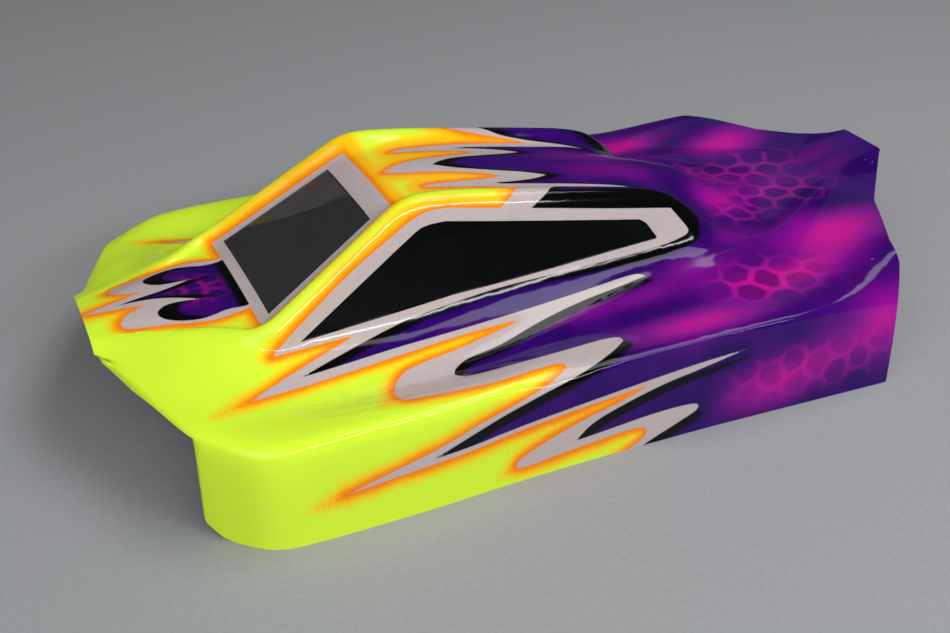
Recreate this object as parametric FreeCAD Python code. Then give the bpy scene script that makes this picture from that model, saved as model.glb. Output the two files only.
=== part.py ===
import FreeCAD, Part
import os

# Body shell of an off-road radio-controlled buggy, trimmed from one formed polycarbonate sheet.
# Millimetres. Front of the car is -Y, its left side is +X, +Z is up. The rim of the side pods
# rests on z = 0. Y is counted from the nose tip while the form is laid out, then centred.

# ---------------------------------------------------------------- driving dimensions
SHEET = 1.0                 # thickness of the formed sheet
LENGTH = 333.0              # nose tip to tail
NOSE_TRIM = ((0.4, 43), (2, 40.4), (8, 38.3), (12, 38))     # trim line under the nose (y, z)
POD_FACE_Y = 20.3           # upright trim edge on the front face of a pod
POD_FACE_Z = 36.0           # where the front trim line meets that edge
POD_TRIM_R = 7.0            # rounding at the foot of that edge
REAR_TRIM = ((104, 273), (92.3, 281), (80, 289), (69.5, 292), (41.2, 307.5), (12.6, 332.4))
WINDSCREEN = ((30.0, 58.2), (23.2, 98.8))       # plan corners of the clear area (x, y)
SIDE_WINDOW = ((64.5, 45), (109.5, 73.6), (112, 74.9), (115, 75.5), (121, 75.6), (199, 61.2),
               (201.6, 59.4), (205.6, 53.6), (204.8, 53), (159.7, 51.8), (120, 50.6))
ROOF_HALF_WIDTH = 34.0      # the side windows lie outside this
SPARE = 20.0                # how far the trimming cuts run past the sheet
REACH = 120.0               # half width of the trimming cuts, wider than the body

# ---------------------------------------------------------------- lines of the form
# Each line runs nose to tail as (y, x, z); the skin is a net drawn over them from the
# centre line outwards and mirrored.
CENTRE = ((-4, 0, 45.4), (10, 0, 46.8), (22, 0, 47.9), (34, 0, 47.8), (48, 0, 47.2),
          (54, 0, 47.2), (58, 0, 49), (102, 0, 75.8), (107, 0, 78.4), (113, 0, 79.2),
          (124, 0, 79.8), (140, 0, 78.4), (165, 0, 74.4), (200, 0, 67.8), (222, 0, 63.5),
          (238, 0, 58.6), (248, 0, 52.4), (256, 0, 47.2), (266, 0, 45), (280, 0, 44.6),
          (300, 0, 46), (309, 0, 46.9), (314, 0, 48.8), (320, 0, 51.2), (337, 0, 56))
SPINE_EDGE = ((-4, 3, 45.4), (10, 3.6, 46.8), (22, 4.2, 47.9), (34, 4.6, 47.8), (48, 5, 47.2),
              (54, 5, 47.2), (58, 5, 49), (102, 5, 75.8), (107, 5, 78.4), (113, 5, 79.2),
              (124, 4.5, 79.7), (140, 5, 78.2), (165, 5.5, 74.2), (200, 6, 67.6), (222, 6, 62.8),
              (238, 6, 58), (248, 5.6, 51.8), (256, 5.2, 47), (266, 4.6, 45), (280, 3.8, 44.6),
              (300, 2.4, 46), (309, 1.8, 46.9), (314, 1.7, 48.8), (320, 1.6, 51.2),
              (337, 1.4, 56))
SPINE_FOOT = ((-4, 6, 45.3), (10, 7, 46.6), (22, 8.4, 47.9), (34, 10, 47.6), (48, 12, 47),
              (54, 12, 47), (58, 12, 49), (102, 11, 75.8), (107, 11, 78.4), (113, 11, 79),
              (124, 10, 79.3), (140, 10, 77.6), (165, 10.5, 73.6), (200, 11, 67),
              (222, 11.5, 60.6), (238, 12, 52.6), (248, 11.5, 48.6), (256, 11, 46),
              (266, 9.5, 44.8), (280, 7.6, 44.6), (300, 4.4, 46), (309, 3.4, 46.9),
              (314, 3.3, 48.8), (320, 3.2, 51.2), (337, 2.8, 56))
VALLEY = ((-4, 9, 45.1), (10, 10.6, 46), (22, 13.6, 47.5), (34, 17.4, 46.9), (48, 21, 46.4),
          (54, 22, 46.6), (58, 22, 48.9), (102, 18, 75.8), (107, 18, 78.3), (113, 18, 78.8),
          (124, 18, 78.9), (140, 18, 77), (165, 18, 72.9), (200, 19, 66.3), (222, 20, 58),
          (232, 19, 52), (244, 17.5, 48), (262, 15, 44.6), (280, 11, 44.5), (300, 6.4, 46),
          (309, 4.8, 46.9), (314, 4.6, 48.8), (320, 4.4, 51.2), (337, 4, 56))
RAIL_FOOT = ((-4, 11, 44.9), (10, 13.2, 45.2), (22, 17.4, 45.8), (34, 24.6, 45.6),
             (48, 32.5, 45.4), (54, 36, 45.4), (58, 35.8, 47.6), (102, 28, 74.8),
             (107, 27.2, 77.4), (113, 25.8, 79), (124, 25, 79.2), (140, 25, 77),
             (165, 25.2, 72.9), (200, 26.5, 66.2), (213, 27, 62), (222, 28, 56), (230, 26, 50.5),
             (240, 23.5, 47.4), (262, 19.5, 44.2), (280, 14, 44.4), (300, 8, 46), (309, 6, 46.9),
             (314, 5.8, 48.8), (320, 5.6, 51.2), (337, 5.2, 56))
RAIL_IN = ((-4, 12.4, 44.8), (20, 18.5, 45.6), (40, 27.5, 47.4), (50, 36.6, 48.4),
           (56, 38, 50.8), (60, 37.2, 53.2), (104, 29.8, 81.2), (110, 29, 83.6),
           (120, 28.2, 83.2), (140, 28.3, 80.4), (165, 28.6, 76.4), (200, 29.6, 70.2),
           (213, 30.4, 66.6), (222, 31.5, 59.5), (228, 31, 53.4), (234, 29.5, 49),
           (240, 27.5, 46.6), (262, 23.5, 43.8), (280, 17, 44.4), (300, 9.6, 46),
           (309, 7.2, 46.9), (314, 7.1, 48.8), (320, 7, 51.2), (337, 6.4, 56))
RAIL_OUT = ((-4, 13.6, 44.6), (20, 21.5, 45.6), (40, 31, 47.6), (50, 39, 49), (56, 40, 51.4),
            (60, 39.4, 53.8), (104, 33, 81.8), (110, 32.6, 84), (120, 32.6, 83.6),
            (140, 32.8, 80.8), (165, 33, 76.8), (200, 33.6, 70.4), (213, 34.4, 66.6),
            (222, 35.8, 59.8), (228, 35.4, 53), (234, 34, 48.4), (240, 32, 46),
            (262, 27.5, 43.6), (280, 20, 44.4), (300, 11.2, 46), (309, 8.4, 46.9),
            (314, 8.4, 48.8), (320, 8.4, 51.3), (337, 7.6, 56))
FRAME_TOP = ((-4, 14.3, 44.3), (8, 19.5, 44.2), (20, 26, 44.4), (40, 36, 45.4), (50, 41.8, 45.8),
             (56, 43, 47), (60, 43, 48.8), (104, 36, 77.2), (110, 35.8, 79.8), (120, 36, 79.4),
             (140, 36.2, 76.4), (165, 36.4, 72.2), (200, 36.6, 65.8), (213, 37, 62),
             (222, 38.6, 56), (228, 39, 51), (234, 38, 47.5), (240, 36.5, 45.4), (262, 32, 43.6),
             (280, 23, 44.6), (300, 13, 46), (309, 9.8, 46.9), (314, 9.9, 48.9), (320, 10, 51.4),
             (337, 9, 55.9))
BELT = ((-4, 14.6, 44), (8, 22, 43.4), (20, 32, 43.2), (40, 41, 43.4), (50, 42.6, 42.4),
        (60, 43.8, 42), (104, 44.6, 43.2), (140, 44, 46.4), (165, 43, 47.4), (200, 41.2, 47.2),
        (213, 41.2, 47), (222, 44, 46.8), (230, 44, 45.2), (240, 41.5, 44.6), (262, 37, 43.8),
        (280, 26.8, 44.9), (300, 15.2, 46.2), (309, 11.6, 47), (314, 11.8, 49),
        (320, 12.2, 51.5), (337, 10.8, 55.8))
SIDE_TOP = ((-4, 14.8, 43.8), (8, 25, 42.8), (20, 39, 42), (40, 48, 40.6), (60, 50.4, 38.4),
            (104, 54, 38.7), (118, 55, 39.6), (140, 53.5, 41.6), (165, 51, 43.6),
            (180, 48.6, 44.6), (200, 47.4, 45.2), (222, 48.8, 45), (240, 46, 45.4),
            (262, 41.4, 45.2), (280, 30.6, 46), (300, 18, 46.8), (309, 14, 47.2),
            (314, 14.2, 49), (320, 14.4, 51.2), (337, 12.4, 55.2))
GROOVE_LIP = ((-4, 14.85, 43.75), (8, 25.8, 42.7), (20, 41, 41.7), (40, 50.5, 39.9),
              (60, 53, 37.6), (104, 61, 35.8), (118, 63.6, 36.2), (140, 61.4, 39),
              (165, 57.4, 41.4), (180, 54.2, 43), (192, 51.6, 44), (198, 50.6, 44.3),
              (222, 50.6, 44.4), (240, 48, 44), (262, 43.6, 43.6), (280, 33, 45),
              (300, 20.4, 46.5), (309, 16.2, 47.2), (320, 15.6, 50.6), (337, 13, 55))
GROOVE = ((-4, 14.9, 43.7), (8, 26.5, 42.5), (20, 42.7, 41.4), (40, 52.6, 39.2), (60, 55, 37),
          (104, 62.6, 35.2), (118, 65, 34.6), (140, 62.8, 36.8), (165, 58.8, 39.2),
          (180, 55.4, 41), (192, 52.6, 42.4), (198, 51.6, 44), (222, 52, 43.4),
          (240, 49.4, 42.4), (262, 45, 42.2), (280, 35, 44.2), (300, 22.4, 46.3),
          (309, 18, 47.3), (320, 16.6, 50.3), (337, 13.5, 54.8))
GROOVE_FOOT = ((-4, 14.95, 43.65), (8, 27.2, 42.3), (20, 44.4, 41.1), (40, 54.8, 38.6),
               (60, 57, 36.4), (104, 64.4, 34.6), (118, 66.4, 35.2), (140, 64.2, 37.2),
               (165, 60.2, 40), (180, 56.8, 42), (192, 53.8, 43.4), (198, 52.8, 43.8),
               (222, 54, 42.4), (240, 51.2, 41.4), (262, 46.8, 41.2), (280, 37.2, 43.6),
               (300, 24.4, 46.1), (309, 20, 47.4), (320, 17.8, 50), (337, 14, 54.5))
SIDE_MID = ((-4, 15, 43.6), (8, 28, 42.2), (20, 46, 40.8), (40, 57, 38), (60, 59.5, 35.6),
            (104, 66.6, 33.8), (118, 68.4, 34.2), (140, 67, 36.2), (165, 63.5, 38.6),
            (180, 61, 40.2), (200, 59.5, 41), (222, 57.5, 41.4), (240, 54.6, 40.8),
            (262, 50, 40.4), (280, 39.5, 43.4), (300, 26.5, 46), (309, 22, 47.4),
            (320, 19, 49.8), (337, 14.6, 54.2))
POD_VALLEY = ((-4, 15.1, 43.3), (8, 30.5, 41.6), (20, 53, 39.2), (30, 61, 37.4), (40, 66, 36),
              (60, 69.6, 33.6), (104, 71.8, 33), (125, 72.4, 34.4), (140, 72, 35.8),
              (165, 71, 37), (200, 69.5, 38.6), (222, 66, 39.6), (240, 63, 39),
              (262, 59.5, 39.6), (280, 51.5, 42.6), (300, 39.5, 47.2), (309, 34.5, 48.2),
              (320, 27, 49.2), (337, 18, 52.8))
POD_CROWN = ((-4, 15.2, 42.9), (2, 17.4, 42.6), (8, 33, 41), (20, 60, 37.9), (30, 69.5, 36.6),
             (40, 76.5, 36.4), (60, 79.5, 36.9), (90, 80.2, 37.2), (112, 79.8, 37.4),
             (125, 79, 37.2), (140, 79, 37), (165, 80, 37.2), (200, 80.6, 38), (222, 78, 38),
             (240, 75.5, 38), (262, 71, 40.4), (280, 63.5, 44.6), (292, 58.5, 47.6),
             (309, 48, 48.8), (337, 30, 50))
SHOULDER = ((-4, 15.3, 42.2), (2, 18, 42), (8, 35.2, 40.4), (20, 66.5, 37.2), (30, 76.5, 36.4),
            (37, 84, 36.4), (44, 88.4, 37), (60, 89.8, 37.6), (90, 90, 37.8), (112, 89.2, 38.2),
            (120, 88, 38.6), (127, 85.6, 38.6), (134, 85, 37.2), (148, 86.4, 36.8),
            (156, 88.6, 37.8), (175, 89.4, 38.4), (200, 89.4, 38.4), (222, 89.4, 38.6),
            (240, 89.6, 38.5), (250, 88.6, 38.3), (258, 87.2, 38.5), (268, 84.2, 40.3),
            (278, 79.6, 42.9), (288, 73.6, 46.4), (296, 69.4, 48.2), (309, 62, 49), (337, 50, 49))
WALL_TOP = ((-4, 15.6, 40.8), (2, 18.8, 40.8), (8, 37.2, 39.4), (20, 71, 36.4), (30, 81.6, 35.6),
            (37, 88.4, 34.8), (44, 91.2, 35.4), (60, 91.8, 36.2), (90, 91.7, 36.4),
            (112, 90.8, 36.8), (120, 90.2, 36.6), (127, 89.9, 34.6), (148, 89.5, 33.8),
            (156, 89.9, 36), (175, 90, 37.2), (200, 90, 37.3), (222, 90.2, 37.5),
            (240, 90.9, 37.2), (250, 90.2, 36.9), (258, 89.2, 37.1), (268, 87, 38.6),
            (278, 83.8, 40.9), (288, 80.4, 43.2), (300, 77.6, 44.6), (337, 72, 44))
WALL_HIGH = ((-4, 15.8, 38.6), (2, 19.2, 38.6), (8, 38.2, 37.6), (20, 72.8, 34), (30, 83.2, 31),
             (37, 90.2, 29), (44, 92.2, 29), (60, 92.6, 29.6), (90, 92.3, 29.6),
             (120, 90.5, 29.6), (150, 89.6, 29.4), (160, 89.6, 31), (200, 89.8, 32),
             (240, 91.2, 32), (258, 90.8, 31.6), (268, 90.2, 32.4), (288, 88.2, 33.4),
             (300, 87, 34), (337, 84, 34))
WALL_MID = ((-4, 16, 34), (2, 19.5, 34), (8, 38.6, 32), (20, 73.4, 26), (30, 83.8, 20),
            (37, 90.8, 18), (44, 92.6, 18), (60, 92.9, 18), (90, 92.5, 18), (120, 90.7, 18),
            (150, 89.7, 18), (200, 89.9, 18), (240, 91.4, 18), (268, 92, 18), (288, 91.4, 18),
            (300, 91, 18), (337, 90, 18))
RIM = ((-4, 16.2, 26), (2, 19.8, 26), (8, 38.8, 20), (20, 73.6, 6), (30, 83.9, -4),
       (37, 90.8, -5), (44, 92.6, -5), (60, 92.9, -5), (90, 92.5, -5), (120, 90.7, -5),
       (150, 89.7, -5), (200, 89.9, -5), (240, 91, -5), (276, 92.4, -5), (300, 93.5, -5),
       (337, 94, -5))
LINES = (CENTRE, SPINE_EDGE, SPINE_FOOT, VALLEY, RAIL_FOOT, RAIL_IN, RAIL_OUT, FRAME_TOP,
         BELT, SIDE_TOP, GROOVE_LIP, GROOVE, GROOVE_FOOT, SIDE_MID, POD_VALLEY, POD_CROWN,
         SHOULDER, WALL_TOP, WALL_HIGH, WALL_MID, RIM)
# Stations along the car where the net is drawn: close together where the form turns.
STATIONS = (-4, 0, 4, 8, 12, 16, 20, 25, 30, 35, 40, 45, 50, 54, 57, 60, 65, 72, 80, 88, 96, 102,
            105, 108, 112, 118, 125, 133, 142, 152, 162, 172, 182, 192, 201, 208, 214, 219, 223,
            227, 232, 238, 244, 250, 256, 262, 268, 275, 282, 290, 298, 306, 313, 320, 326, 331,
            337)


def on_line(line, y):
    """Point of a form line at station y, by straight interpolation."""
    for (y0, x0, z0), (y1, x1, z1) in zip(line, line[1:]):
        if y <= y1:
            t = (y - y0) / (y1 - y0)
            return x0 + t * (x1 - x0), z0 + t * (z1 - z0)
    return line[-1][1], line[-1][2]


def surface_over(net):
    """Smooth surface (third degree both ways) held by a net of poles."""
    rows, columns = len(net), len(net[0])
    surface = Part.BSplineSurface()
    surface.buildFromPolesMultsKnots(
        net, [4] + [1] * (rows - 4) + [4], [4] + [1] * (columns - 4) + [4],
        list(range(rows - 2)), list(range(columns - 2)), False, False, 3, 3)
    return surface


def outer_net():
    """Poles of the skin: one row for each station, from the right rim to the left one."""
    net = []
    for y in STATIONS:
        half = [on_line(line, y) for line in LINES]
        row = [FreeCAD.Vector(-x, y, z) for x, z in reversed(half[1:])]
        row += [FreeCAD.Vector(x, y, z) for x, z in half]
        net.append(row)
    return net


def inner_net(net, skin):
    """The net moved inwards by the sheet thickness, square to the skin at each pole."""
    rows, columns = len(net), len(net[0])
    moved = []
    for i, row in enumerate(net):
        u = min(max(i - 1, 0), rows - 3)
        line = []
        for j, pole in enumerate(row):
            v = min(max(j - 1, 0), columns - 3)
            line.append(pole - skin.normal(u, v) * SHEET)
        moved.append(line)
    return moved


def formed_sheet():
    """The sheet as it leaves the mould, before trimming: a closed solid."""
    net = outer_net()
    skin = surface_over(net)
    lining = surface_over(inner_net(net, skin))
    rows, columns = len(net) - 3, len(net[0]) - 3
    faces = [skin.toShape(), lining.toShape()]
    for end in (0, rows):
        faces.append(Part.makeRuledSurface(skin.uIso(end).toShape(), lining.uIso(end).toShape()))
    for side in (0, columns):
        faces.append(Part.makeRuledSurface(skin.vIso(side).toShape(), lining.vIso(side).toShape()))
    shell = Part.makeShell(faces)
    shell.sewShape()
    solid = Part.makeSolid(shell)
    if solid.Volume < 0:
        solid.reverse()
    return solid


def prism(outline, depth):
    """Solid drawn from a closed outline of 3-D points along the vector depth."""
    corners = [FreeCAD.Vector(*p) for p in outline]
    return Part.Face(Part.makePolygon(corners + corners[:1])).extrude(FreeCAD.Vector(*depth))


def box_between(y0, y1, z0, z1):
    """Box over the whole width, from y0 to y1 and from z0 to z1."""
    return Part.makeBox(2 * REACH, y1 - y0, z1 - z0, FreeCAD.Vector(-REACH, y0, z0))


def mirrored(shape):
    """The same shape on the other side of the centre plane."""
    return shape.mirror(FreeCAD.Vector(0, 0, 0), FreeCAD.Vector(1, 0, 0))


def under_trim():
    """Everything the trimming scissors take away below the rim, as seen from the side."""
    line = [(-SPARE, -SPARE), (-SPARE, NOSE_TRIM[0][1] + 0.5)]
    line += NOSE_TRIM
    line += [(POD_FACE_Y, POD_FACE_Z), (POD_FACE_Y, 0.8 * POD_TRIM_R),
             (POD_FACE_Y + 0.6, 0.45 * POD_TRIM_R), (POD_FACE_Y + 2.4, 0.18 * POD_TRIM_R),
             (POD_FACE_Y + POD_TRIM_R, 0), (POD_FACE_Y + POD_TRIM_R, -SPARE)]
    front = prism([(-REACH, y, z) for y, z in line], (2 * REACH, 0, 0))
    floor = box_between(-SPARE, LENGTH + SPARE, -SPARE, 0)
    return front.fuse(floor)


def end_trim():
    """The nose is cut square; the tail is cut square and its flanks run out to the pods."""
    nose = box_between(-SPARE, 0, -SPARE, REACH)
    tail = box_between(LENGTH, LENGTH + SPARE, -SPARE, REACH)
    flank = list(REAR_TRIM)
    flank += [(REAR_TRIM[-1][0], LENGTH + SPARE), (REACH, LENGTH + SPARE), (REACH, REAR_TRIM[0][1])]
    left = prism([(x, y, -SPARE) for x, y in flank], (0, 0, REACH + SPARE))
    return nose.fuse([tail, left, mirrored(left)])


def clear_areas():
    """Prisms through the windscreen and through the two side windows."""
    (xb, yb), (xt, yt) = WINDSCREEN
    corners = [(-xb, yb), (xb, yb), (xt, yt), (-xt, yt)]
    screen = prism([(x, y, 0) for x, y in corners], (0, 0, REACH))
    side = prism([(ROOF_HALF_WIDTH, y, z) for y, z in SIDE_WINDOW], (REACH, 0, 0))
    return screen, side, mirrored(side)


def placed(shape):
    """The shape with the origin half way along the body instead of at its nose."""
    shape.translate(FreeCAD.Vector(0, -LENGTH / 2, 0))
    return shape


def main():
    """Forms the sheet, trims it, and parts the unpainted areas from the painted ones."""
    sheet = formed_sheet()
    sheet = sheet.cut(under_trim()).cut(end_trim())
    screen, left, right = clear_areas()
    parts = {
        "painted_shell": sheet.cut([screen, left, right]),
        "windscreen": sheet.common(screen),
        "left_side_window": sheet.common(left),
        "right_side_window": sheet.common(right),
    }
    os.makedirs("parts", exist_ok=True)
    for name, shape in parts.items():
        placed(shape).exportStep("parts/" + name + ".step")


main()
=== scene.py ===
"""Looks of a hand-painted body shell for an off-road radio-controlled buggy.

The form is the CAD model's. This script makes the outer skin finer and smoother, lays the paint
out on it, and gives the sheet, its lining, its cut edges and its clear windows their materials.
"""
import math

import bmesh
import bpy
import numpy as np
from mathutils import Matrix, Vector
from mathutils.kdtree import KDTree


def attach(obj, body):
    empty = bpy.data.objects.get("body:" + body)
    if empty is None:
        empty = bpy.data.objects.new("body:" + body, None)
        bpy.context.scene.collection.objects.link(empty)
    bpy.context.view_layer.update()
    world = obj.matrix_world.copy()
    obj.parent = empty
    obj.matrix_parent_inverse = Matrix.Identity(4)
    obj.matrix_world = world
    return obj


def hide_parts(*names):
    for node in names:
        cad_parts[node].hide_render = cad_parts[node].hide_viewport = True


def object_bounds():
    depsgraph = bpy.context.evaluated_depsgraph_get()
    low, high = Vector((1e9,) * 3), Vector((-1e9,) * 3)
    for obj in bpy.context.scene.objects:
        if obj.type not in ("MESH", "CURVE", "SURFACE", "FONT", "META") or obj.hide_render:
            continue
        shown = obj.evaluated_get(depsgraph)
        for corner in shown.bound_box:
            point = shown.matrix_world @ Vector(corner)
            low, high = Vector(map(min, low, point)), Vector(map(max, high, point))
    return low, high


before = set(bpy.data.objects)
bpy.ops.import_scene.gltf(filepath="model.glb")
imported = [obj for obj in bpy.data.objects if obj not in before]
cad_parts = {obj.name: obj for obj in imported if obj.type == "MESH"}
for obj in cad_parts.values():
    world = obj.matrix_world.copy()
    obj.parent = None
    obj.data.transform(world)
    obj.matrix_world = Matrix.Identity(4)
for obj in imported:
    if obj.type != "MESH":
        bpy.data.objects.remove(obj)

CAD_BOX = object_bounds()
MM = 0.001
NOSE = CAD_BOX[0].y                 # the paint is laid out in mm from the nose tip
SHELL = "painted_shell"
SKIN, LINING, CUT = 0, 1, 2         # its materials, in this order

# ---------------------------------------------------------------- colours, 0-255 as on a screen
YELLOW = (214, 248, 56)
AMBER = (255, 196, 20)
ORANGE = (250, 128, 14)
INDIGO = (34, 4, 88)
VIOLET = (58, 6, 112)
PLUM = (56, 6, 92)
WEB = (176, 26, 152)
ORCHID = (128, 12, 140)
MAGENTA = (200, 14, 148)
BLACK = (6, 6, 7)
# The two ends of a range that noise moves a colour through.
SILVER_RANGE = ((176, 163, 163), (200, 188, 186))
LINING_RANGE = ((60, 60, 63), (84, 84, 88))
CUT_EDGE_RANGE = ((120, 125, 110), (190, 195, 180))
CLEAR_RANGE = ((150, 150, 152), (172, 172, 174))
FLOOR_RANGE = ((150, 152, 155), (160, 162, 165))

# ---------------------------------------------------------------- outlines of the paint
# On the sides a point is (y, w): mm from the nose, and height less distance from the centre
# plane. On the hood and the roof it is (x, y). The outlines are alike on the left and the right.
# Each is a row of strokes, which are smooth curves that meet in the sharp tips of the flames.
SIDE_FIRE = (
    ((153, 53), (150, 47), (144, 40.5)),
    ((86, -1.5), (69.5, -9), (54, -17), (41.5, -24.5)),
    ((41.5, -24.5), (59.5, -22.5), (88.5, -19), (111, -16.2), (130, -15), (143, -14.8)),
    ((143, -14.8), (133, -17.8), (117, -22), (101.5, -25), (94, -28), (88.5, -35), (86.5, -42),
     (91, -44.5), (106, -46), (120.5, -46.5), (136.5, -44.7), (143.5, -45), (145.5, -47.5)),
    ((145.5, -47.5), (137, -53.5), (125, -58.5), (110, -63.5), (95.5, -69), (81, -73), (61.5, -78)),
    ((61.5, -78), (81, -76), (102.5, -74), (125, -70.3), (148, -67.5), (176, -65)),
    ((176, -65), (164, -69), (148.5, -73), (133, -78.5), (126, -81.8), (123.3, -85), (128, -86),
     (141, -84.5), (157, -83), (170, -82.3), (175, -84), (173.5, -87.5), (166, -92), (160, -96)),
)
SIDE_SILVER = (
    ((167, 50), (163, 44), (156, 38)),
    ((104.5, -0.5), (92, -4.5), (76.5, -10.5), (60.5, -17.5)),
    ((60.5, -17.5), (75, -16), (97.5, -13.6), (119.5, -12.3), (143, -10.4), (168, -7.5),
     (185, -5), (192, -4.8), (195, -7)),
    ((195, -7), (183.5, -9.5), (166, -13), (148, -18.5), (130.5, -25.5), (118, -28.3),
     (112, -32), (110, -35.5)),
    ((110, -35.5), (114, -38.4), (125.5, -38.7), (148, -38), (163, -37.3), (169.5, -38.3),
     (170, -41)),
    ((170, -41), (162, -46.3), (148, -53), (132.5, -58), (117.5, -63), (102.5, -69), (92.5, -73)),
    ((92.5, -73), (106.5, -71.6), (125, -68.7), (148, -66), (171.5, -63.6), (195.5, -61.6),
     (214, -60.8)),
    ((214, -60.8), (196, -64), (180, -66.7), (164, -71), (153, -75.2), (146.5, -80.7)),
    ((146.5, -80.7), (160, -79.6), (176, -78.2), (189, -78), (195.5, -79), (195, -81.8),
     (187, -85.3), (174.5, -90.5), (166, -96)),
)
ROOF_FIRE = (
    ((0, 112.5), (3.4, 118), (5.5, 125), (7.2, 136), (9.6, 148), (12.3, 154.5)),
    ((12.3, 154.5), (14.2, 147), (15.2, 136), (15.6, 127), (16.6, 121.5), (18.6, 127),
     (20.2, 140), (21.6, 153), (22.4, 168), (22.8, 185)),
    ((22.8, 185), (25.4, 175), (27.4, 163), (29.4, 154.5), (31.5, 150), (35.5, 144)),
)
ROOF_SILVER = (
    ((0, 131.8), (3, 136.5), (5.4, 143), (7.6, 154), (9.4, 165), (11.8, 173.5)),
    ((11.8, 173.5), (14.8, 166), (16.6, 157), (17.2, 151), (17.9, 149), (18.6, 154),
     (19, 168), (19.4, 184), (20.8, 207)),
    ((20.8, 207), (23.4, 195), (25.6, 181), (27.6, 171), (32, 163.5), (35.5, 156)),
)
HOOD_FIRE = (
    ((0, 0), (1.6, 7), (3, 14), (4.4, 19), (5.7, 23.8)),
    ((5.7, 23.8), (5.8, 18.5), (8, 14), (11.6, 11.3), (14.6, 12.8), (16.6, 18), (19, 27),
     (21.6, 36), (22.2, 43), (20.8, 49), (20, 56)),
)
HOOD_SILVER = (
    ((0, 10.5), (0.8, 18), (2.2, 26), (4.6, 33), (7.8, 40)),
    ((7.8, 40), (7.2, 32), (8.2, 27), (11.5, 24), (15.2, 25), (18.4, 30), (20, 36.5),
     (19.2, 42), (17.6, 47.5), (18.4, 56)),
)
SIDE_FRAME = (
    ((54, -3.5), (78, -2.6), (100, -1.5)), ((100, -1.5), (119, 1.5), (139, 4), (170, 5.4),
     (202.5, 7.5), (216, 10), (219, 12), (218.6, 15), (213, 25.2)),
    ((213, 25.2), (183, 31), (129.5, 42.4), (121, 43.9), (114.5, 43.6), (108, 40.8), (101, 36),
     (85, 24.5), (65.5, 7.5), (54, -3.5)),
)
SCREEN_FRAME = (
    ((0, 54.6), (33.8, 54.6)), ((33.8, 54.6), (25.4, 106.4)), ((25.4, 106.4), (0, 106.4)),
)
# Points beyond the body that close an outline off behind the flames.
SIDE_REST = ((200, -110), (345, -110), (345, 70), (160, 70))
ROOF_REST = ((60, 150), (60, 345), (0, 345))
HOOD_REST = ((20, 70), (0, 70))
SCREEN_REST = ((0, 80),)
NO_REST = ()

CREST_Y = (0, 20, 50, 56, 104, 112, 200, 222, 240, 300)      # top line of a roof rail
CREST_X = (13, 20, 38, 39, 31.4, 30.8, 31.6, 33.6, 30, 12)
HOOD_END, SCREEN_END, ROOF_START = 62, 125, 98               # y of where the charts change

# Soft blobs of magenta: (x, y, z), reach along the body, reach across, strength. The long one on the
# roof at y 200 is a painted reflection: a lighter patch that stands in for light shining off the roof.
GLOWS_AND_SHEEN = (
    ((66, 252, 39), 24, 9, 0.8), ((81, 200, 38), 30, 8, 0.85), ((67, 234, 40), 18, 8, 0.6),
    ((88, 278, 28), 20, 13, 0.75), ((91, 246, 18), 26, 10, 0.6), ((91, 224, 10), 20, 10, 0.6),
    ((14, 250, 48), 14, 12, 0.7), ((40, 240, 45), 14, 8, 0.35), ((6, 276, 45), 22, 12, 0.45),
    ((6, 314, 49), 14, 9, 0.3), ((60, 178, 41), 40, 6, 0.4), ((52, 216, 43), 22, 7, 0.4),
    # the third blob of the next row, at (7, 200, 66), is the painted reflection on the roof, not paint
    ((7, 200, 66), 40, 9, 0.4), ((10, 38, 47.5), 16, 12, 0.2), ((56, 130, 40), 30, 5, 0.3),
)
LEFT_GLOWS = (((51, 282, 44), 24, 15, 1.0),)
RIGHT_GLOWS = (((40, 290, 44), 20, 13, 0.9),)
# Orange overspray that runs on from the tips of the flames on the sides: (y, w) of tip and of end.
TAILS = (
    ((42, -24.3), (29, -28)), ((62.5, -78), (52, -80)), ((87.5, -41), (80, -44)),
    ((124, -85), (118, -87)), ((87, -1.5), (74, -5)),
)
TAIL_START, TAIL_FADE, TAIL_FALL = 0.2, 3.3, 0.8      # depth at the tip, lost to the end, lost per mm
# Where the honeycomb shows through: (y, w), reach along, reach across, strength, cell size.
HONEYCOMB = (
    ((240, -25), 24, 14, 1.0, 13.0), ((280, 33), 24, 13, 0.9, 11.5), ((254, 22), 13, 9, 0.8, 11.5),
    ((246, -76), 38, 11, 0.6, 11.0), ((40, 46), 10, 8, 0.8, 8),
)
CELL_ROWS = 4                        # rows of cells on each side of a patch's middle
CELL_JITTER = 0.09                   # how far a cell strays, as a part of its size
CELL_DEPTHS = (0.45, 1.0)            # how dark the hollow of a cell gets, from and to
CELL_SEED = 4
RIGHT_WEB = 0.35                     # how much of the web low on the side shows on the right
FAINT_WEB = 0.02                     # a weaker web isn't laid out at all

SIDE_SHADOW = (1.5, -3.6)            # how far off the silver its black shadow falls, in (y, w)
ROOF_SHADOW = 7                      # the same on the hood and the roof, straight back
RIM, RIM_GROWTH, RIM_RUN = 3.4, 2.4, (150, 205)       # black round the frames, wider to the back
RAIL, RAIL_W, RAIL_RUN = 6.0, (14, 24), (142, 168)    # and over the rear of the roof rails
WARM_Z, WARMEST = (52, 80), 2.6      # the yellow turns to amber towards the roof

# Where one colour gives way to the next: from and to, in mm of distance to an outline or a border.
MASKED, FRAME_MASKED = (-0.25, 0.25), (-0.2, 0.2)
TO_AMBER, TO_ORANGE = (-7.0, -1.6), (-3.6, -0.3)
TO_SHADOW, TO_FRAME_SHADOW = (1.4, -0.8), (-1.2, 1.2)
TO_HOLLOW, TO_WEB = (0.6, 2.0), (1.8, 0.4)
# The same, in shares of the magenta that is dusted on (with the painted reflection on the roof), and for
# the indigo in strength of its cloud.
TO_ORCHID, TO_MAGENTA = (0.05, 0.6), (0.45, 1.0)
TO_VIOLET = (-0.12, 0.12)
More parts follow.
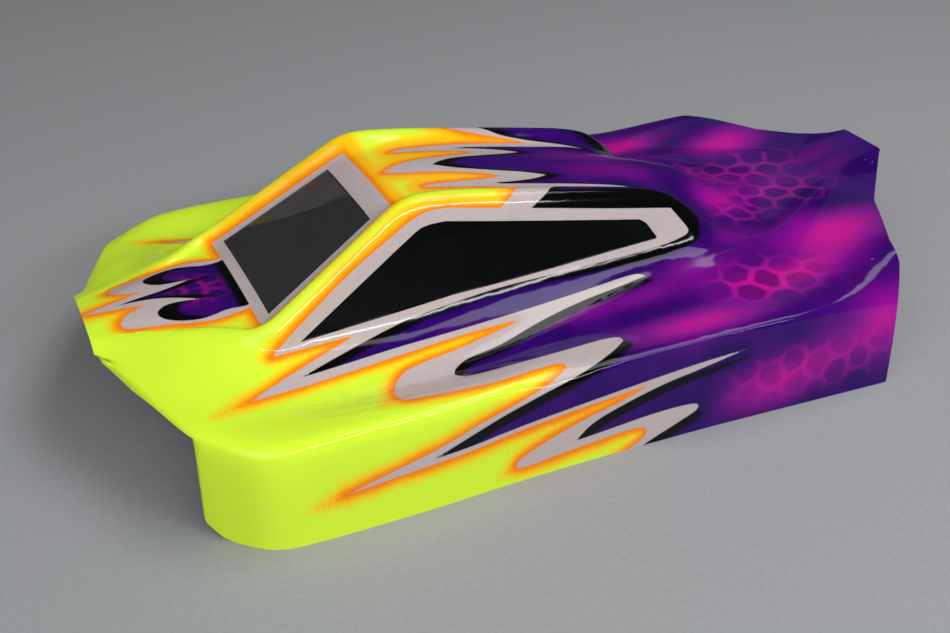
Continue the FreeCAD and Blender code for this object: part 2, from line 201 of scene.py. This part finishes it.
# Noise on the paint: size of its grains in mm, and strength.
SPECKLE, DRIFT = (0.3, 3.6), (14, 2.0)                # on the fire's borders
CLOUD, CLOUD_ON_GLOW = (22, 0.35), 0.6                # on the purple, and how much of it on the glow
CELL_GRAIN, SHADOW_GRAIN = (1.5, 0.6), (0.35, 1.2)
WEB_COVER, HOLLOW_COVER = 0.5, 0.85                   # how much of the honeycomb's colours shows
LINING_ROUGHNESS = (-2.5, 1.5)                        # noise of 0 is 0.7 of the way

FAR = 16.0                           # mm beyond which a distance to an outline doesn't matter

# ---------------------------------------------------------------- the finer skin, in mm
WELD = 0.02
SLIVER, FINE_SLIVER = 0.01, 0.03     # narrower faces are dissolved, before and after the skin is refined
NARROW_BAND, WIDE_BAND = 1.0, 3.0    # how near an outline the edges are short
FINE, MIDDLE, COARSE = 1.35, 2.3, 5.5                 # longest edge in each band and beyond
WEB_LENGTH, WEB_SHOWS = 2.4, 0.05    # longest edge where the honeycomb shows
SHARP = math.radians(38)             # edges that turn more bound the skin, the lining and the cut edge
CUT_EDGE_SHARE = 0.2                 # a cut edge's area is a smaller share of the largest one
MAX_SHIFT = 0.25                     # farthest that smoothing moves a point
PATCH = 40                           # neighbours that a patch is fitted to
CLOSEST = 12                         # neighbours that an odd normal is held against
PATCH_FALL, NORMAL_FALL = 2.5, 4     # how fast a neighbour's weight falls with its distance
SAME_WAY = 0.02                      # how fast it falls with the turn of its normal
ALONG_X = 0.6                        # a normal with more x than this isn't crossed with the x axis
ODD = 0.5                            # a normal is odd if its cosine to the mean is less
STIFFNESS = 2e-3                     # keeps a patch that is fitted to few points from tipping

# ---------------------------------------------------------------- studio, in metres and degrees
CAMERA_PLACE = (0.4097, -0.2018, 0.2741)
CAMERA_AZIMUTH, CAMERA_ELEVATION = 65.75, 30.38
SENSOR, LENS = 36, 49.26             # mm
MIDDLE_OF_CAR = (0, 0, 0.03)
SOFTBOXES = (                        # name, place, size, power in watts
    ("overhead", (0.2, 0.45, 1.1), (0.95, 0.5), 7),
    ("far_side", (-0.95, 0.5, 0.75), (0.7, 0.4), 0.12),
    ("near_strip", (1.2, 0.2, 0.75), (1.3, 0.08), 10),
    ("front", (1.1, -1.2, 1.25), (1.4, 1.4), 17),
)
SKY, SKY_STRENGTH = (0.75, 0.78, 0.8, 1), 0.06
FLOOR_SIZE = 6


# ---------------------------------------------------------------- where the paint lies
def curve(stroke, steps=5):
    """Points of a smooth (Catmull-Rom) curve through the points of a stroke."""
    p = np.array(stroke, float)
    p = np.vstack((2 * p[0] - p[1], p, 2 * p[-1] - p[-2]))
    t = np.linspace(0, 1, steps, endpoint=False)[:, None]
    spans = []
    for a, b, c, d in zip(p, p[1:], p[2:], p[3:]):
        bend = 2 * a - 5 * b + 4 * c - d
        twist = 3 * (b - c) + d - a
        spans.append(b + t * ((c - a) + t * (bend + t * twist)) / 2)
    return np.vstack(spans + [p[-2:-1]])


def inside(points, ring):
    """True for the points inside a closed ring."""
    x, y = points.T
    odd = np.zeros(len(points), bool)
    for (x0, y0), (x1, y1) in zip(ring, np.roll(ring, -1, 0)):
        if y0 != y1:
            odd ^= ((y0 > y) != (y1 > y)) & (x < x0 + (y - y0) * (x1 - x0) / (y1 - y0))
    return odd


def signed_distance(points, strokes, rest):
    """Distance in mm to an outline, positive on the side that the points of rest close off."""
    line = np.vstack([curve(s) for s in strokes])
    distance = np.full(len(points), FAR)
    close = ((points > line.min(0) - FAR) & (points < line.max(0) + FAR)).all(1)
    px, py = points[close].T
    nearest = np.full(len(px), FAR ** 2)
    for (ax, ay), (bx, by) in zip(line, line[1:]):
        dx, dy = bx - ax, by - ay
        length = dx * dx + dy * dy
        if length > 0:
            t = np.clip(((px - ax) * dx + (py - ay) * dy) / length, 0, 1)
            np.minimum(nearest, (px - ax - t * dx) ** 2 + (py - ay - t * dy) ** 2, out=nearest)
    distance[close] = np.sqrt(nearest)
    ring = np.vstack((line, np.array(rest))) if len(rest) else line
    return np.where(inside(points, ring), distance, -distance)


def flames(x, y, w, which):
    """Signed distance to the edge of the fire (0) or of the silver (1), positive behind it."""
    on_top = x < np.interp(y, CREST_Y, CREST_X)
    edge = np.full(len(x), -FAR)
    side, top = np.column_stack((y, w)), np.column_stack((x, y))
    zones = (
        (~on_top, side, (SIDE_FIRE, SIDE_SILVER)[which], SIDE_REST),
        (on_top & (y > ROOF_START), top, (ROOF_FIRE, ROOF_SILVER)[which], ROOF_REST),
        (on_top & (y < HOOD_END), top, (HOOD_FIRE, HOOD_SILVER)[which], HOOD_REST),
    )
    for zone, chart, outline, rest in zones:
        edge[zone] = signed_distance(chart[zone], outline, rest)
    return edge


def window_frames(x, y, w):
    """Signed distance to the silver frames round the windows, positive inside them."""
    side = signed_distance(np.column_stack((y, w)), SIDE_FRAME, NO_REST)
    screen = signed_distance(np.column_stack((x, y)), SCREEN_FRAME, SCREEN_REST)
    return np.maximum(side, np.where(y < SCREEN_END, screen, -FAR))


def tails(y, w):
    """Depth into the overspray at the tips of the flames: just below 0 there, and falling away."""
    depth = np.full(len(y), -FAR)
    for (y0, w0), (y1, w1) in TAILS:
        dy, dw = y1 - y0, w1 - w0
        t = np.clip(((y - y0) * dy + (w - w0) * dw) / (dy * dy + dw * dw), 0, 1)
        away = np.hypot(y - y0 - t * dy, w - w0 - t * dw)
        depth = np.maximum(depth, -TAIL_START - TAIL_FADE * t - TAIL_FALL * away)
    return depth


def cells_round(y, w, middle, size, rng):
    """Distance to the border of the honeycomb's cell that a point is in, and that cell's depth."""
    row = size * math.sqrt(3) / 2
    steps = range(-CELL_ROWS, CELL_ROWS + 1)
    centres = []
    for i in steps:
        for j in steps:
            centres.append((middle[0] + row * i, middle[1] + size * (j + 0.5 * (i % 2))))
    centres = np.array(centres) + rng.normal(0, CELL_JITTER * size, (len(centres), 2))
    depths = rng.uniform(*CELL_DEPTHS, len(centres))
    away = np.hypot(y[:, None] - centres[:, 0], w[:, None] - centres[:, 1])
    order = np.argsort(away, axis=1)[:, :2]
    first, second = np.take_along_axis(away, order, 1).T
    return (second - first) / 2, depths[order[:, 0]]


def honeycomb(y, w, left):
    """Distance to the border of a cell, how strongly the web shows, and how deep the cell is."""
    rng = np.random.default_rng(CELL_SEED)
    border = np.full(len(y), FAR)
    web = np.zeros(len(y))
    depth = np.zeros(len(y))
    for (cy, cw), along, across, strength, size in HONEYCOMB:
        far = ((y - cy) / along) ** 2 + ((w - cw) / across) ** 2
        shown = strength * np.exp(-far ** 2) * np.where(left | (w > 0), 1, RIGHT_WEB)
        here = shown > np.maximum(web, FAINT_WEB)
        border[here], hollow = cells_round(y[here], w[here], (cy, cw), size, rng)
        web[here] = shown[here]
        depth[here] = shown[here] * hollow
    return border, web, depth


def magenta_and_sheen(x, y, z, left):
    """How much magenta is dusted over the purple, with a painted reflection on the roof. Some blobs are
    on one side only.
    """
    total = np.zeros(len(x))
    for blobs, side in ((GLOWS_AND_SHEEN, 1), (LEFT_GLOWS, left), (RIGHT_GLOWS, ~left)):
        for (cx, cy, cz), along, across, strength in blobs:
            far = ((y - cy) / along) ** 2 + ((x - cx) ** 2 + (z - cz) ** 2) / across ** 2
            total += strength * side * np.exp(-far)
    return np.clip(total, 0, 1)


def frame_shadow(y, w, frames):
    """Depth into the black round the window frames, which also covers the rear of the rails."""
    rim = RIM + RIM_GROWTH * np.interp(y, RIM_RUN, (0, 1))
    rail = RAIL * np.interp(w, RAIL_W, (0, 1)) * np.interp(y, RAIL_RUN, (0, 1))
    return frames + rim + rail


def paint_fields(co):
    """Everything that the paint needs to know at each point of the skin. Distances are in mm."""
    x = np.abs(co[:, 0]) / MM
    y = (co[:, 1] - NOSE) / MM
    z = co[:, 2] / MM
    w = z - x
    frames = window_frames(x, y, w)
    silver = flames(x, y, w, 1)
    on_top = x < np.interp(y, CREST_Y, CREST_X)
    roof_shade = flames(x, y - ROOF_SHADOW, w, 1)
    side_shade = flames(x, y - SIDE_SHADOW[0], w - SIDE_SHADOW[1], 1)
    left = co[:, 0] > 0
    border, web, depth = honeycomb(y, w, left)
    fire = np.maximum(flames(x, y, w, 0), frames)
    return {
        "fire_edge": fire,
        "halo": np.maximum(fire, tails(y, w)),
        "warmth": np.interp(z, WARM_Z, (0, WARMEST)),
        "silver_edge": silver,
        "frame_edge": frames,
        "shade": np.where(on_top, roof_shade, side_shade),
        "frame_shade": frame_shadow(y, w, frames),
        "magenta_and_sheen": magenta_and_sheen(x, y, z, left),
        "cell_border": border,
        "web": web,
        "cell_depth": depth,
    }


# ---------------------------------------------------------------- making the skin finer
def mark_sharp(bm):
    """Marks the edges that part the skin, the lining and the cut edges."""
    for e in bm.edges:
        e.smooth = len(e.link_faces) != 2 or e.calc_face_angle(0) <= SHARP


def islands(bm):
    """Groups of faces that hang together without a sharp edge between them."""
    seen, groups = set(), []
    for start in bm.faces:
        if start in seen:
            continue
        group, stack = [], [start]
        seen.add(start)
        while stack:
            face = stack.pop()
            group.append(face)
            for edge in face.edges:
                for other in edge.link_faces:
                    if edge.smooth and other not in seen:
                        seen.add(other)
                        stack.append(other)
        groups.append(group)
    return groups


def sort_faces(bm):
    """Gives the faces their materials. The skin faces up, and the cut edges have small areas."""
    groups = islands(bm)
    areas = [sum(f.calc_area() for f in g) for g in groups]
    for group, area in zip(groups, areas):
        if area < CUT_EDGE_SHARE * max(areas):
            kind = CUT
        else:
            up = sum(f.normal.z * f.calc_area() for f in group)
            kind = SKIN if up > 0 else LINING
        for f in group:
            f.material_index = kind


def wanted_length(fields):
    """Longest edge that the paint allows at each point, in metres."""
    outlines = ("fire_edge", "silver_edge", "frame_edge", "shade")
    near = np.min([np.abs(fields[name]) for name in outlines], axis=0)
    length = np.select((near < NARROW_BAND, near < WIDE_BAND), (FINE, MIDDLE), COARSE)
    length = np.where(fields["web"] > WEB_SHOWS, np.minimum(length, WEB_LENGTH), length)
    return length * MM


def positions(bm):
    return np.array([v.co for v in bm.verts])


def refine(bm, passes=5):
    """Splits the skin's long edges where the paint has detail."""
    limit = np.zeros(0)
    for _ in range(passes):
        bm.verts.index_update()
        limit = np.append(limit, wanted_length(paint_fields(positions(bm)[len(limit):])))
        long = []
        for e in bm.edges:
            if any(f.material_index == SKIN for f in e.link_faces):
                a, b = e.verts
                if e.calc_length() > min(limit[a.index], limit[b.index]):
                    long.append(e)
        if not long:
            break
        bmesh.ops.subdivide_edges(bm, edges=long, cuts=1)
        many = [f for f in bm.faces if len(f.verts) > 3]
        bmesh.ops.triangulate(bm, faces=many)


def square_axes(normals):
    """Two directions square to each normal and to each other."""
    off_x = np.abs(normals[:, :1]) < ALONG_X
    helper = np.where(off_x, [[1.0, 0, 0]], [[0, 1.0, 0]])
    first = np.cross(normals, helper)
    first /= np.linalg.norm(first, axis=1)[:, None]
    return first, np.cross(normals, first)


def likeness(normals, near):
    """1 for a neighbour that faces the same way, and near 0 beyond about twenty-five degrees."""
    return np.exp((np.einsum("nkc,nc->nk", normals[near], normals) - 1) / SAME_WAY)


def neighbours(points):
    """For each point, the numbers of the points closest to it."""
    tree = KDTree(len(points))
    for i, p in enumerate(points):
        tree.insert(p, i)
    tree.balance()
    return np.array([[found[1] for found in tree.find_n(p, PATCH)] for p in points])


def without_odd_ones(normals, near):
    """The normals, where one that differs much from those around it takes their mean."""
    common = normals[near[:, :CLOSEST]].sum(1)
    length = np.linalg.norm(common, axis=1)
    odd = np.einsum("nc,nc->n", normals, common) < ODD * length
    return np.where(odd[:, None], common / length[:, None], normals)


def on_smooth_surface(points, normals):
    """Points and normals of a smooth surface that runs along a cloud of points.

    Round each point a second-degree patch is fitted to its nearest neighbours, with heights taken
    along the point's normal. Neighbours that face another way count little, so creases stay.
    """
    near = neighbours(points)
    normals = without_odd_ones(normals, near)
    first, second = square_axes(normals)
    away = points[near] - points[:, None, :]
    reach = np.linalg.norm(away, axis=2).max(1)
    u = np.einsum("nkc,nc->nk", away, first) / reach[:, None]
    v = np.einsum("nkc,nc->nk", away, second) / reach[:, None]
    h = np.einsum("nkc,nc->nk", away, normals) / reach[:, None]
    spread = u * u + v * v + h * h
    weight = np.exp(-PATCH_FALL * spread) * likeness(normals, near)
    terms = np.stack((np.ones_like(u), u, v, u * u, u * v, v * v), 2)
    weighted = terms * weight[:, :, None]
    square = np.einsum("nki,nkj->nij", weighted, terms)
    square += np.eye(6) * STIFFNESS * (0, 1, 1, 1, 1, 1)
    fit = np.linalg.solve(square, np.einsum("nki,nk->ni", weighted, h)[:, :, None])[:, :, 0]
    shift = np.clip(fit[:, 0] * reach, -MAX_SHIFT * MM, MAX_SHIFT * MM)
    moved = np.clip(points + normals * shift[:, None], CAD_BOX[0], CAD_BOX[1])
    turned = normals - first * fit[:, 1:2] - second * fit[:, 2:3]
    turned /= np.linalg.norm(turned, axis=1)[:, None]
    weight = np.exp(-NORMAL_FALL * spread) * likeness(turned, near)
    turned = np.einsum("nk,nkc->nc", weight, turned[near])
    return moved, turned / np.linalg.norm(turned, axis=1)[:, None]


def fair(bm):
    """Smooths the skin's facets away, but leaves its borders. Returns a normal for every point."""
    bm.normal_update()
    skin, kept = [], []
    for v in bm.verts:
        if v.link_faces[0].material_index == SKIN:
            skin.append(v)
            kept.append(any(len(e.link_faces) < 2 for e in v.link_edges))
    normals = np.array([v.normal for v in bm.verts])
    rows = np.array([v.index for v in skin])
    points = positions(bm)[rows]
    moved, turned = on_smooth_surface(points, normals[rows])
    for v, place, keep in zip(skin, moved, kept):
        if not keep:
            v.co = place
    normals[rows] = turned
    bm.normal_update()
    for f in bm.faces:
        if f.material_index == SKIN and f.normal.dot(Vector(normals[f.verts[0].index])) < 0:
            f.normal_flip()
    return normals


def drop_slivers(bm):
    """Dissolves the slivers that refining leaves, and deletes what is loose after that."""
    bmesh.ops.dissolve_degenerate(bm, edges=bm.edges, dist=FINE_SLIVER * MM)
    bmesh.ops.triangulate(bm, faces=[f for f in bm.faces if len(f.verts) > 3])
    bmesh.ops.delete(bm, geom=[e for e in bm.edges if not e.link_faces], context="EDGES")
    bmesh.ops.delete(bm, geom=[v for v in bm.verts if not v.link_faces], context="VERTS")


def finer_shell(source):
    """The painted sheet with a skin fine enough to carry the paint."""
    bm = bmesh.new()
    bm.from_mesh(source.data)
    bmesh.ops.remove_doubles(bm, verts=bm.verts, dist=WELD * MM)
    bmesh.ops.dissolve_degenerate(bm, edges=bm.edges, dist=SLIVER * MM)
    bm.normal_update()
    mark_sharp(bm)
    sort_faces(bm)
    refine(bm)
    drop_slivers(bm)
    borders = [e for e in bm.edges if len({f.material_index for f in e.link_faces}) > 1]
    bmesh.ops.split_edges(bm, edges=borders)
    bm.verts.index_update()
    normals = fair(bm)
    mesh = bpy.data.meshes.new("finer_shell")
    bm.to_mesh(mesh)
    bm.free()
    mesh.validate()                  # takes out the few faces that lie twice in one place
    mesh.polygons.foreach_set("use_smooth", [True] * len(mesh.polygons))
    mesh.normals_split_custom_set_from_vertices(normals)
    co = np.empty(len(mesh.vertices) * 3)
    mesh.vertices.foreach_get("co", co)
    for name, values in paint_fields(co.reshape(-1, 3)).items():
        mesh.attributes.new(name, "FLOAT", "POINT").data.foreach_set("value", values)
    shell = bpy.data.objects.new("shell_skin", mesh)
    bpy.context.scene.collection.objects.link(shell)
    return shell


# ---------------------------------------------------------------- materials
def linear(colour):
    """A colour given as 0-255 screen values, for a shader socket."""
    shares = [c / 255 for c in colour]
    return tuple(((c + 0.055) / 1.055) ** 2.4 if c > 0.04 else c / 12.92 for c in shares) + (1,)


def material(name):
    mat = bpy.data.materials.new(name)
    mat.use_nodes = True
    return mat, mat.node_tree, mat.node_tree.nodes["Principled BSDF"]


def add(tree, kind, inputs, **settings):
    """A node with its settings and inputs, where an input is a value or another's output."""
    node = tree.nodes.new(kind)
    for key, value in settings.items():
        setattr(node, key, value)
    for key, value in inputs.items():
        if isinstance(value, bpy.types.NodeSocket):
            tree.links.new(value, node.inputs[key])
        else:
            node.inputs[key].default_value = value
    return node


def field(tree, name):
    """One of the values that paint_fields puts on the skin."""
    return add(tree, "ShaderNodeAttribute", {}, attribute_name=name).outputs["Fac"]


def ramp(tree, value, start, end):
    """0 at start and 1 at end, with an eased run between them."""
    inputs = {"Value": value, "From Min": start, "From Max": end}
    return add(tree, "ShaderNodeMapRange", inputs, interpolation_type="SMOOTHSTEP").outputs["Result"]


def mix(tree, factor, low, high):
    """A colour between two, each of which is an output or 0-255 screen values."""
    low, high = (linear(c) if isinstance(c, tuple) else c for c in (low, high))
    inputs = {0: factor, 6: low, 7: high}        # 6 and 7 are the sockets A and B for colours
    return add(tree, "ShaderNodeMix", inputs, data_type="RGBA").outputs[2]


def combine(tree, operation, a, b):
    """Arithmetic on two values, each of which is an output or a number."""
    return add(tree, "ShaderNodeMath", {0: a, 1: b}, operation=operation).outputs[0]


def noise(tree, size_mm, detail=2.0):
    """Even noise about 0, from about -0.5 to 0.5, with grains of the given size."""
    place = add(tree, "ShaderNodeTexCoord", {}).outputs["Object"]
    inputs = {"Vector": place, "Scale": 1 / (size_mm * MM), "Detail": detail}
    grain = add(tree, "ShaderNodeTexNoise", inputs).outputs["Fac"]
    return combine(tree, "SUBTRACT", grain, 0.5)


def scaled(tree, value, by):
    return combine(tree, "MULTIPLY", value, by)


def dusting(tree, size_mm, strength):
    return scaled(tree, noise(tree, size_mm), strength)


def mottled(tree, colours, size_mm, spread, detail=2.0):
    """A colour that noise moves between two. The smaller the spread, the nearer it gets to them."""
    share = ramp(tree, noise(tree, size_mm, detail), -spread, spread)
    return mix(tree, share, *colours)


def fire_colour(tree):
    """Fluorescent yellow that is sprayed over to orange along the edge of the flames."""
    uneven = combine(tree, "ADD", dusting(tree, *SPECKLE), dusting(tree, *DRIFT))
    edge = combine(tree, "ADD", field(tree, "halo"), uneven)
    warm_edge = combine(tree, "ADD", edge, field(tree, "warmth"))
    amber = mix(tree, ramp(tree, warm_edge, *TO_AMBER), YELLOW, AMBER)
    return mix(tree, ramp(tree, edge, *TO_ORANGE), amber, ORANGE)


def silver_colour(tree):
    """Silver with a fine flake."""
    return mottled(tree, SILVER_RANGE, 0.25, 0.3, detail=0.0)


def night_colour(tree):
    """Indigo to magenta behind the flames, with a painted reflection on the roof, the honeycomb and the
    black drop shadows.
    """
    cloud = dusting(tree, *CLOUD)
    # the dusted magenta here includes a painted reflection on the roof, a lighter patch that stands in
    # for light
    light = combine(tree, "ADD", field(tree, "magenta_and_sheen"), scaled(tree, cloud, CLOUD_ON_GLOW))
    base = mix(tree, ramp(tree, cloud, *TO_VIOLET), INDIGO, VIOLET)
    base = mix(tree, ramp(tree, light, *TO_ORCHID), base, ORCHID)
    base = mix(tree, ramp(tree, light, *TO_MAGENTA), base, MAGENTA)
    border = combine(tree, "ADD", field(tree, "cell_border"), dusting(tree, *CELL_GRAIN))
    hollow = combine(tree, "MULTIPLY", ramp(tree, border, *TO_HOLLOW), field(tree, "cell_depth"))
    web = combine(tree, "MULTIPLY", ramp(tree, border, *TO_WEB), field(tree, "web"))
    base = mix(tree, scaled(tree, web, WEB_COVER), base, WEB)
    base = mix(tree, scaled(tree, hollow, HOLLOW_COVER), base, PLUM)
    grain = dusting(tree, *SHADOW_GRAIN)
    shade = ramp(tree, combine(tree, "ADD", field(tree, "shade"), grain), *TO_SHADOW)
    frame_shade = combine(tree, "ADD", field(tree, "frame_shade"), grain)
    frame_shade = ramp(tree, frame_shade, *TO_FRAME_SHADOW)
    return mix(tree, combine(tree, "MAXIMUM", shade, frame_shade), base, BLACK)


def painted_skin():
    """Paint seen through the clear sheet that it is sprayed on the back of."""
    mat, tree, shader = material("painted_polycarbonate")
    silver = silver_colour(tree)
    behind_fire = ramp(tree, field(tree, "fire_edge"), *MASKED)
    behind_silver = ramp(tree, field(tree, "silver_edge"), *MASKED)
    in_frame = ramp(tree, field(tree, "frame_edge"), *FRAME_MASKED)
    colour = mix(tree, behind_fire, fire_colour(tree), silver)
    colour = mix(tree, behind_silver, colour, night_colour(tree))
    colour = mix(tree, in_frame, colour, silver)
    tree.links.new(colour, shader.inputs["Base Color"])
    shader.inputs["Roughness"].default_value = 0.55
    shader.inputs["Specular IOR Level"].default_value = 0.0
    shader.inputs["Coat Weight"].default_value = 0.65
    shader.inputs["Coat Roughness"].default_value = 0.09
    shader.inputs["Coat IOR"].default_value = 1.42
    return mat


def lining():
    """Backing coat on the inside: dull, dark and a little uneven."""
    mat, tree, shader = material("backing_paint")
    tone = mottled(tree, LINING_RANGE, 9, 0.25, detail=4.0)
    tree.links.new(tone, shader.inputs["Base Color"])
    dullness = ramp(tree, noise(tree, 4), *LINING_ROUGHNESS)
    tree.links.new(dullness, shader.inputs["Roughness"])
    relief = {"Height": noise(tree, 0.5), "Strength": 0.25, "Distance": 0.2 * MM}
    bump = add(tree, "ShaderNodeBump", relief)
    tree.links.new(bump.outputs[0], shader.inputs["Normal"])
    return mat


def cut_edge():
    """Bare polycarbonate where the sheet was cut."""
    mat, tree, shader = material("cut_polycarbonate")
    tree.links.new(mottled(tree, CUT_EDGE_RANGE, 1.2, 0.3), shader.inputs["Base Color"])
    shader.inputs["Roughness"].default_value = 0.35
    return mat


def clear_sheet(name, clarity):
    """Unpainted polycarbonate with a light smoke tint. At less than full clarity it is hazy."""
    mat, tree, shader = material(name)
    tint = mottled(tree, CLEAR_RANGE, 30, 0.5, detail=3.0)
    tree.links.new(tint, shader.inputs["Base Color"])
    shader.inputs["Transmission Weight"].default_value = clarity
    shader.inputs["Roughness"].default_value = 0.02
    shader.inputs["IOR"].default_value = 1.58
    return mat


def floor_material():
    mat, tree, shader = material("studio_floor")
    tone = mottled(tree, FLOOR_RANGE, 2.0, 0.5, detail=4.0)
    tree.links.new(tone, shader.inputs["Base Color"])
    shader.inputs["Roughness"].default_value = 0.8
    return mat


# ---------------------------------------------------------------- the pieces
shell = finer_shell(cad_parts[SHELL])
for finish in (painted_skin(), lining(), cut_edge()):
    shell.data.materials.append(finish)
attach(shell, "root")
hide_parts(SHELL)
clear = clear_sheet("clear_polycarbonate", 1.0)
hazy = clear_sheet("hazy_polycarbonate", 0.93)
for name, glass in (("windscreen", hazy), ("left_side_window", clear), ("right_side_window", clear)):
    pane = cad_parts[name]
    pane.data.materials.clear()
    pane.data.materials.append(glass)


# ---------------------------------------------------------------- studio
def aim(thing, place, direction):
    """Puts a camera or a light at a place, looking along a direction."""
    thing.location = place
    thing.rotation_mode = "QUATERNION"
    thing.rotation_quaternion = Vector(direction).to_track_quat("-Z", "Y")


def camera():
    """Above and beside the nose, looking back across the car."""
    azimuth, elevation = math.radians(CAMERA_AZIMUTH), math.radians(CAMERA_ELEVATION)
    level = math.cos(elevation)
    ahead = (-math.sin(azimuth) * level, math.cos(azimuth) * level, -math.sin(elevation))
    made = bpy.data.objects.new("camera", bpy.data.cameras.new("camera"))
    made.data.sensor_width = SENSOR
    made.data.lens = LENS
    aim(made, CAMERA_PLACE, ahead)
    bpy.context.scene.collection.objects.link(made)
    bpy.context.scene.camera = made


def softbox(name, place, size, power):
    data = bpy.data.lights.new(name, "AREA")
    data.shape = "RECTANGLE"
    data.size, data.size_y = size
    data.energy = power
    made = bpy.data.objects.new(name, data)
    aim(made, place, Vector(MIDDLE_OF_CAR) - Vector(place))
    bpy.context.scene.collection.objects.link(made)


def studio():
    bpy.ops.mesh.primitive_plane_add(size=FLOOR_SIZE, location=(0, 0, CAD_BOX[0].z))
    floor = bpy.context.object
    floor.name = "floor"
    floor.data.materials.append(floor_material())
    for light in SOFTBOXES:
        softbox(*light)
    world = bpy.data.worlds.new("studio")
    world.use_nodes = True
    sky = world.node_tree.nodes["Background"]
    sky.inputs["Color"].default_value = SKY
    sky.inputs["Strength"].default_value = SKY_STRENGTH
    bpy.context.scene.world = world
    bpy.context.scene.view_settings.view_transform = "Standard"


studio()
camera()
